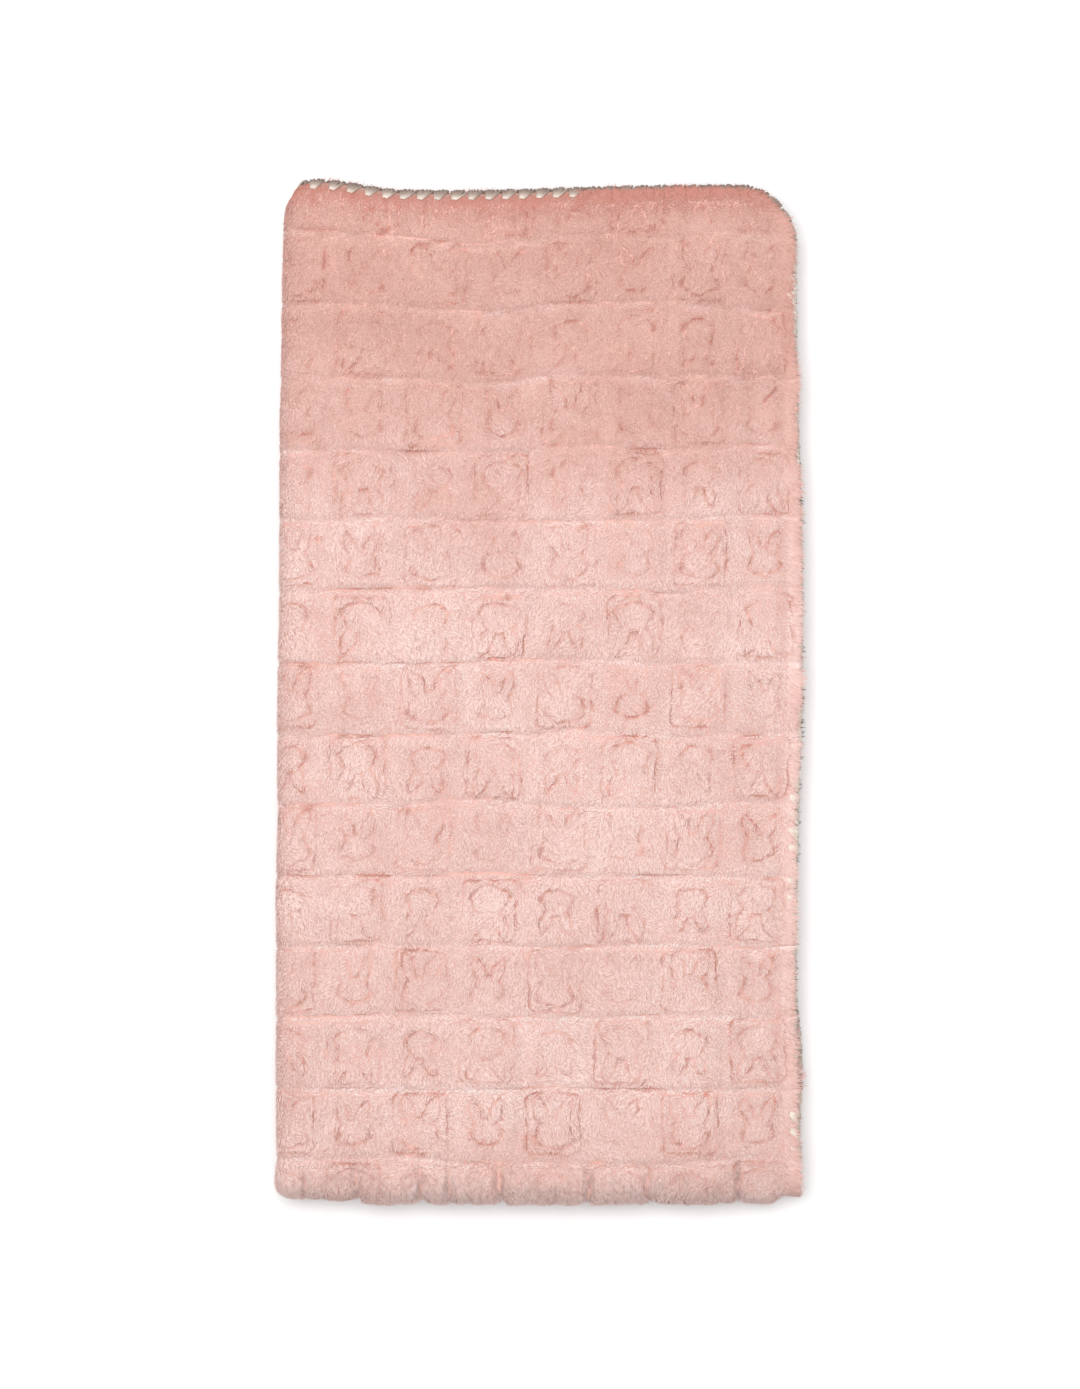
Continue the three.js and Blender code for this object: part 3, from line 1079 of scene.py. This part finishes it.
def over_cloth(u, v, tuft_u, tuft_v, near_edge, random):
    """Where the tips lie: in tufts, up over the creases and over the edge, but off the cut lines
    and hardly across the hinge line, because the halves turn apart there."""
    count = u.size
    edge_u, edge_v = slope(to_edge, u, v, 0.2)
    folded = on_bottom_fold(v)
    turn = math.pi * (layered(u, v, lay_swells) - 0.5) + random.normal(0.0, lay_spread, count)
    loose = np.clip(looseness + layered(u, v, loose_swells), least_loose, 1.0)
    tilt = fibre_lean * loose * random.uniform(*lean_spread, count)
    over_edge = near_edge * (over_edge_reach * edging_cover(u, v) - 1.0)
    over_edge = over_edge * random.uniform(*over_edge_spread, count)
    over_edge = np.minimum(over_edge, to_edge(u, v) + edging_reach - tip_clearance)
    pull = tuft_pull * (1.0 + 2.0 * folded) * random.uniform(*pull_spread, count)
    combed = rim_comb * crease_rim(u, v) - fold_comb * folded * smooth(-v / fold_comb_fade)
    du = tilt * np.cos(turn) - over_edge * edge_u + pull * tuft_u
    dv = tilt * np.sin(turn) - over_edge * edge_v + pull * tuft_v + combed
    to_crease = crease_lean * at_inner_crease(u, v, crease_lean_reach)
    to_crease = to_crease * random.uniform(*crease_lean_spread, count)
    dv = dv + np.where(v > -0.5 * bottom_arc, -to_crease, to_crease)
    du, dv = kept_off_lines(u, v, du, dv)
    over_hinge = random.uniform(*over_hinge_spread, count)
    tip_v = np.where(v > 0.0, np.maximum(v + dv, -over_hinge), v + dv)
    tip_v = np.where(v < -bottom_arc, np.minimum(tip_v, over_hinge - bottom_arc), tip_v)
    return u + du, tip_v


def shade_of(u, v, own, random):
    """How light each fibre is, from 0 to 1. Painted shade darkens the upper part, the top edge, all free
    edges and the side fold, painted light lifts the bottom fold, and a painted highlight lies along the
    creases.
    """
    from_top = cut_top - flat_place(u, v)[1]
    along = np.clip(v / cut_top, 0.0, 1.0)
    halo = bell(line_distance(u, v), halo_width) * line_strength(u, v)
    shade = shade_middle + layered(u, v, shade_swells) + shade_of_tuft * (own - 0.5)
    # A painted highlight on the fibres that comb up over each crease
    shade = shade - halo_dark * halo + crease_painted_highlight * crease_rim(u, v)
    # Painted shade over the upper part, darker towards the top
    shade = shade - upper_half_painted_shade * smooth((along - 0.5) / 0.5) * smooth((v + upper_fade) / upper_fade)
    # Painted light round the bottom fold
    shade = shade + fold_painted_light * round_bottom_fold(v) * on_bottom_fold(v)
    # Painted shade on the side fold
    shade = shade - side_fold_painted_shade * round_side_fold(u)
    above_fold = smooth((above_fold_height - v) / above_fold_fade)
    shade = shade - above_fold_dark * above_fold * smooth((v + bottom_arc) / above_fold_fade)
    shade = shade - dark_fibre * (random.random(u.size) < dark_fibre_share)
    # Painted shade along the top edge
    shade = shade - top_painted_shade * (1.0 - smooth(from_top / top_painted_shade_band))
    # Painted shade along the free edges
    shade = shade - edge_painted_shade * along_edge(u, v)
    scatter = shade_scatter + top_scatter * (1.0 - smooth(from_top / top_scatter_band))
    shade = shade + random.normal(0.0, 1.0, u.size) * scatter - line_dark * carved_lines(u, v)
    return np.clip(shade, 0.01, 0.99)


def tip_colour_reach_of(u, v):
    """How much of a fibre shows its tip colour, from 0 to 1: less where painted shade darkens it, along
    the edges, along the top and round the bottom fold.
    """
    from_top = cut_top - flat_place(u, v)[1]
    # The amount of painted shade along the edges, the top and round the bottom fold; it darkens the
    # colour only
    pressed = edge_root_colour_shade * along_edge(u, v)
    pressed = pressed + top_root_colour_shade * (1.0 - smooth(from_top / root_colour_shade_top_band))
    pressed = pressed + fold_root_colour_shade * round_bottom_fold(v) ** 2 * on_bottom_fold(v)
    return 1.0 - np.clip(pressed, 0.0, most_root_colour_shade)


def pile(name, u_span, v_span, gap, width, seed, own_shading=0.5):
    """Fibres rooted over a stretch of the cloth, lying in tufts and away from the cut lines."""
    random = np.random.default_rng(seed)
    u, v = rooted(u_span, v_span, gap, random)
    near_edge = 1.0 - smooth(to_edge(u, v) / edge_band)
    tuft_u, tuft_v, own = tufts(u, v)
    tip_u, tip_v = over_cloth(u, v, tuft_u, tuft_v, near_edge, random)

    proud = stand_out(u, v)
    lifted = near_edge * edging_cover(u, v)
    level = relief(u, v) + groove_depth * carved_lines(u, v) + tuft_step * (own - 0.5)
    level = np.maximum(0.0, level + random.uniform(-level_scatter, level_scatter, u.size))
    root_depth = np.minimum(plush_thickness - thinnest_backing, level + pile_height)
    root_depth = root_depth - root_lift_share * proud - root_lift_at_edge * lifted
    roots = in_plush(u, v, root_depth)
    tips = in_plush(tip_u, tip_v, level - tip_lift_at_edge * lifted - proud)
    roots[:, 2] = np.maximum(roots[:, 2], lowest_root)
    tips[:, 2] = np.maximum(tips[:, 2], lowest_tip)
    rise = tips - roots

    shade = shade_of(u, v, own, random)
    upward = up_on_side_fold * round_side_fold(u)[:, None] * np.array([0.0, 0.0, 1.0])
    facts = {
        "rise": unit(rise),
        "face": unit(facing(u, v) + upward),
        "reach": np.linalg.norm(rise, axis=1) * MM,
        "width": width * MM * random.uniform(*width_spread, u.size),
        "shade": shade,
        "loft": tip_colour_reach_of(u, v),
    }
    piece = point_cloud(name, roots, facts)
    return grown(piece, fibres, {"Own shading": own_shading, "Material": fibre_look})


def strips_of_pile(name, u_span, v_span, count, gap, width, seed):
    """A stretch of pile in strips, which keeps each piece small enough."""
    ends = np.linspace(*v_span, count + 1)
    spans = enumerate(zip(ends, ends[1:]), 1)
    return [pile(f"{name}_{n}", u_span, span, gap, width, seed + n) for n, span in spans]


# The stitched edging


def leaf_edge(v_start):
    """The outer leaf's free edge, from the bottom fold to the side fold: places and ways out."""
    step = 1.0
    corner_u = leaf_width - corner_radius
    corner_v = cut_top - corner_radius
    right = np.arange(v_start, corner_v, step)
    turn = np.linspace(0.0, math.pi / 2, 64)
    top = np.arange(corner_u, 0.0, -step)
    u = [np.full(right.size, leaf_width), corner_u + corner_radius * np.cos(turn), top]
    v = [right, corner_v + corner_radius * np.sin(turn), np.full(top.size, cut_top)]
    out_u = [np.ones(right.size), np.cos(turn), np.zeros(top.size)]
    out_v = [np.zeros(right.size), np.sin(turn), np.ones(top.size)]
    return [np.concatenate(part) for part in (u, v, out_u, out_v)]


def half_edge(lower):
    """The free edge of a half: its outer leaf, round the side fold, and its inner leaf."""
    u, v, out_u, out_v = leaf_edge(hinge_clearance + shell_pitch / 2)
    fold = np.arange(0.0, -side_arc, -1.0)
    ones = np.ones(fold.size)
    u = np.concatenate([u, fold, (-side_arc - u)[::-1]])
    out_u = np.concatenate([out_u, 0.0 * ones, -out_u[::-1]])
    v = np.concatenate([v, cut_top * ones, v[::-1]])
    out_v = np.concatenate([out_v, ones, out_v[::-1]])
    return (u, -bottom_arc - v, out_u, -out_v) if lower else (u, v, out_u, out_v)


def fold_edge(inner):
    """The free edge of one leaf round the bottom fold."""
    v = np.linspace(0.0, -bottom_arc, 120)
    ones = np.ones(v.size)
    if inner:
        return (-side_arc - leaf_width) * ones, v, -ones, 0.0 * ones
    return leaf_width * ones, v, ones, 0.0 * ones


def at_seam(u, v):
    return place(u, v, seam_distance, seam_distance)


def spaced(edge, pitch):
    """Spots one pitch apart along an edge, measured over the cloth as it lies."""
    places = at_seam(edge[0], edge[1])
    steps = np.linalg.norm(np.diff(places, axis=0), axis=1)
    run = np.concatenate([[0.0], np.cumsum(steps)])
    count = max(1, round(run[-1] / pitch))
    spots = (np.arange(count) + 0.5) * run[-1] / count
    return [np.interp(spots, run, part) for part in edge]


def shells(name, edge, seed):
    """Shell stitches along an edge: strands that fan out of one spot and go over the edge."""
    u, v, out_u, out_v = spaced(edge, shell_pitch)
    random = np.random.default_rng(seed)
    u, v = u - stitch_depth * out_u, v - stitch_depth * out_v
    seam = at_seam(u, v)
    along = unit(at_seam(u + out_v, v - out_u) - seam)
    out = at_seam(u + out_u, v + out_v) - seam
    out = unit(out - along * np.sum(out * along, axis=1, keepdims=True))
    up = np.cross(along, out)
    # Painted shade on the loops' outer sides, most along the top edge
    painted_shade_by_edge = least_outer_painted_shade + (1.0 - least_outer_painted_shade) * np.maximum(0.0, out[:, 1])
    pressed = 1.0 - pressed_by_pile * edging_cover(u, v)
    starts, outs, reaches, lifts, outer_painted_shades = [], [], [], [], []
    for share in np.linspace(-1.0, 1.0, shell_strands):
        turn = math.radians(shell_slant + shell_fan * share)
        turn = turn + random.normal(0.0, strand_turn_scatter, len(seam))[:, None]
        way = out * np.cos(turn) + along * np.sin(turn)
        to_rim = (1.0 - outer_strand_short * share**2) / np.cos(turn[:, 0])
        starts.append(seam + along * (shell_half_width * share - shell_offset))
        outs.append(way)
        reaches.append(to_rim * random.uniform(*reach_spread, len(seam)))
        lift = pressed * (1.0 - outer_strand_low * share**2)
        lifts.append(lift * random.uniform(*lift_spread, len(seam)))
        wear = painted_shade_by_edge + random.uniform(-outer_painted_shade_scatter, outer_painted_shade_scatter, len(seam))
        outer_painted_shades.append(np.clip(wear, 0.0, 1.0))
    facts = {
        "out": np.concatenate(outs),
        "up": np.concatenate([up] * shell_strands),
        "reach": np.concatenate(reaches),
        "lift": np.concatenate(lifts),
        "wear": np.concatenate(outer_painted_shades),
    }
    piece = point_cloud(name, np.concatenate(starts), facts)
    sizes = {
        "Reach": shell_reach * MM,
        "Half height": strand_half_height * MM,
        "Yarn radius": yarn_radius * MM,
        "Material": yarn_look,
    }
    return grown(piece, strands, sizes)


# Everything in its place


def rows_along(gap):
    """Places along a half, closer together in the rounded corner."""
    plain = np.arange(hinge_clearance, cut_top - corner_rows_start * corner_radius, gap)
    return np.concatenate([plain, cut_top - corner_radius * np.array(corner_rows)])


def columns_across(outer_gap, inner_gap):
    """Places across a half, from the inner leaf's cut edge round to the outer leaf's."""
    inner = np.linspace(-side_arc - leaf_width, -side_arc, round(leaf_width / inner_gap) + 1)
    fold = np.linspace(-side_arc, 0.0, side_fold_columns)
    outer = np.linspace(0.0, leaf_width, round(leaf_width / outer_gap) + 1)
    return np.concatenate([inner, fold[1:-1], outer])


def plush_front(u, v):
    depth = backing_depth + relief(u, v) + backing_groove * carved_lines(u, v)
    depth = depth + plush_thickness * at_inner_crease(u, v, backing_crease_reach)
    depth = np.minimum(depth, plush_thickness - thinnest_plush)
    return in_plush(u, v, depth - root_lift_share * stand_out(u, v))


def plush_rear(u, v):
    return in_plush(u, v, plush_thickness)


def lining_front(u, v):
    return place(u, v, *lining_face)


def lining_rear(u, v):
    return place(u, v, *lining_back)


def handled(u, v):
    """How much brown painted shade the under-pile has along the seam, from 0 to 1: most along the top
    edge.
    """
    at_top = smooth((v - cut_top + brown_top_band) / brown_top_fade)
    brown = least_brown + more_brown_at_top * at_top
    return brown * (1.0 - smooth((to_edge(u, v) - brown_width) / brown_fade))


def plush_cloth(name, us, vs):
    facts = {"cut": carved_lines, "handled": handled}
    return closed_sheet(name, us, vs, plush_front, plush_rear, backing_look, facts)


def lining_cloth(name, us, vs):
    return closed_sheet(name, us, vs, lining_front, lining_rear, lining_look)


def studio_floor():
    material, _, shader = new_material("pale_studio_floor", 0.0, 0.9)
    shader.inputs["Base Color"].default_value = (0.9, 0.9, 0.9, 1.0)
    shader.inputs["Emission Color"].default_value = (1.0, 1.0, 1.0, 1.0)
    shader.inputs["Emission Strength"].default_value = floor_glow
    reach = half_floor
    corners = [(-reach, -reach), (reach, -reach), (reach, reach), (-reach, reach)]
    mesh = bpy.data.meshes.new("studio_floor")
    mesh.from_pydata([(x, y, floor_level) for x, y in corners], [], [(0, 1, 2, 3)])
    mesh.materials.append(material)
    floor = shown("studio_floor", mesh)


def studio_light():
    world = bpy.data.worlds.new("soft_white_room")
    world.use_nodes = True
    background = world.node_tree.nodes["Background"]
    background.inputs["Color"].default_value = (1.0, 1.0, 1.0, 1.0)
    background.inputs["Strength"].default_value = room_strength
    bpy.context.scene.world = world
    lamp = bpy.data.lights.new("upper_left_softbox", "AREA")
    lamp.size = softbox_size
    lamp.energy = softbox_watts
    softbox = shown("upper_left_softbox", lamp)
    softbox.location = softbox_place
    way = -softbox.location
    softbox.rotation_euler = way.to_track_quat("-Z", "Y").to_euler()


def photo_camera():
    """Straight above, so far off that the picture's height takes in the photograph's."""
    lens = bpy.data.cameras.new("photo_camera")
    lens.lens = lens_length
    lens.sensor_width = sensor_width
    camera = shown("photo_camera", lens)
    distance = picture_height * lens.lens / lens.sensor_width
    camera.location = (*camera_place, (fold_radius + distance) * MM)
    bpy.context.scene.camera = camera
    bpy.context.scene.view_settings.view_transform = "Standard"


photo_camera()
studio_light()
studio_floor()

fibre_look = fibre_material()
backing_look = backing_material()
lining_look = lining_material()
yarn_look = yarn_material()
fibres = fibre_tree()
strands = strand_tree()

cloth_us = columns_across(fine_gap, plain_gap)
upper_vs = rows_along(fine_gap)
lower_us = columns_across(plain_gap, plain_gap)
lower_vs = -bottom_arc - rows_along(plain_gap)
fold_vs = np.linspace(0.9 * hinge_clearance, -bottom_arc - 0.9 * hinge_clearance, fold_rows)
lining_us = columns_across(lining_gap, lining_gap)
lining_vs = rows_along(lining_gap)

upper_cloth = plush_cloth("plush_cloth_upper", cloth_us, upper_vs)
lower_cloth = plush_cloth("plush_cloth_lower", lower_us, lower_vs)
fold_cloth = plush_cloth("plush_cloth_bottom_fold", cloth_us, fold_vs)
upper_lining = lining_cloth("lining_cloth_upper", lining_us, lining_vs)
lower_lining = lining_cloth("lining_cloth_lower", lining_us, -bottom_arc - lining_vs)
fold_lining = lining_cloth("lining_cloth_bottom_fold", lining_us, fold_vs)

outer = (0.0, leaf_width)
inner = (-side_arc - leaf_width, -side_arc)
side = (-side_arc, 0.0)
upper = (hinge_clearance, cut_top)
lower = (-bottom_arc - cut_top, -bottom_arc - hinge_clearance)

upper_pile = strips_of_pile("pile_top", outer, upper, 5, *top_fibres, 100)
side_pile = ("pile_side_fold_upper", side, upper, *upper_side_fibres, 110, side_fold_shading)
upper_pile.append(pile(*side_pile))
upper_pile += strips_of_pile("pile_inside_upper", inner, upper, 2, *inside_fibres, 120)

lower_pile = [pile("pile_underside", outer, lower, *underside_fibres, 130)]
side_pile = ("pile_side_fold_lower", side, lower, *lower_side_fibres, 140, side_fold_shading)
lower_pile.append(pile(*side_pile))
lower_pile += strips_of_pile("pile_inside_lower", inner, lower, 2, *inside_fibres, 150)

outer_and_side = (-side_arc, leaf_width)
fold_pile = [pile("pile_bottom_fold", outer_and_side, (-bottom_arc, 0.0), *fold_fibres, 160)]

upper_edging = shells("edging_shells_upper", half_edge(False), 201)
lower_edging = shells("edging_shells_lower", half_edge(True), 202)
outer_fold_edging = shells("edging_shells_bottom_fold_outer", fold_edge(False), 203)
inner_fold_edging = shells("edging_shells_bottom_fold_inner", fold_edge(True), 204)

for piece in (upper_cloth, upper_lining, upper_edging, *upper_pile):
    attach(piece, "upper_half")
for piece in (lower_cloth, lower_lining, lower_edging, *lower_pile):
    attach(piece, "lower_half")
for piece in (fold_cloth, fold_lining, outer_fold_edging, inner_fold_edging, *fold_pile):
    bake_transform(piece)

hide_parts("plush_upper_half")
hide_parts("plush_lower_half")
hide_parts("plush_bottom_fold")
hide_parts("lining_upper_half")
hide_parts("lining_lower_half")
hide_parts("lining_bottom_fold")
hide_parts("edging_upper_half")
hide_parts("edging_lower_half")
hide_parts("edging_bottom_fold_outer")
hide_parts("edging_bottom_fold_inner")
